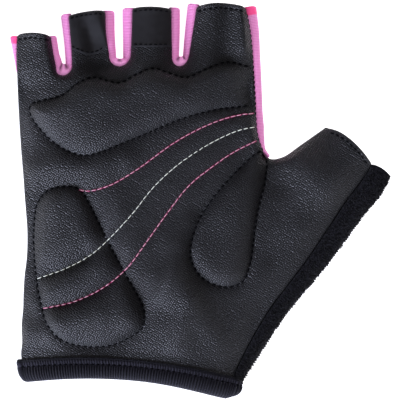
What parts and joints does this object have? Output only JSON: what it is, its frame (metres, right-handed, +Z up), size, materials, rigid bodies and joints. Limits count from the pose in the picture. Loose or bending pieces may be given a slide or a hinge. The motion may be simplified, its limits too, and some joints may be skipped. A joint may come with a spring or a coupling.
{
  "type": "fingerless cycling glove",
  "caption": "Right-hand fingerless cycling glove lying palm up, with a padded leather palm, pink finger gussets, a terry thumb, pull tabs and a ribbed wrist band.",
  "frame": {"origin": "middle of the bounding box in plan, at the surface that the glove lies on", "axes": "+Z up out of the palm side, +Y from the wrist to the fingertips, +X towards the thumb"},
  "size_m": [0.1518, 0.1576, 0.0172],
  "materials": {
    "leather": "pebbled synthetic leather, satin, soft bluish sheen",
    "knit": "plain stretch knit, matt",
    "terry": "short looped terry, matt and fuzzy",
    "pink_lycra": "fine stretch knit, soft sheen",
    "ribbed_band": "ribbed elastic knit, matt",
    "tab_cloth": "smooth dense woven cloth, matt"
  },
  "bodies": {
    "root": {"palm_panel": "leather", "back_panel": "knit", "terry_thumb": "terry", "index_side_gusset": "pink_lycra", "little_side_gusset": "pink_lycra", "little_ring_gusset": "pink_lycra", "ring_middle_gusset": "pink_lycra", "middle_index_gusset": "pink_lycra", "wrist_band": "ribbed_band", "knuckle_pad": "leather", "heel_pad": "leather", "thumb_pad": "leather", "ring_pull_tab": "tab_cloth", "middle_pull_tab": "tab_cloth"}
  },
  "joints": []
}
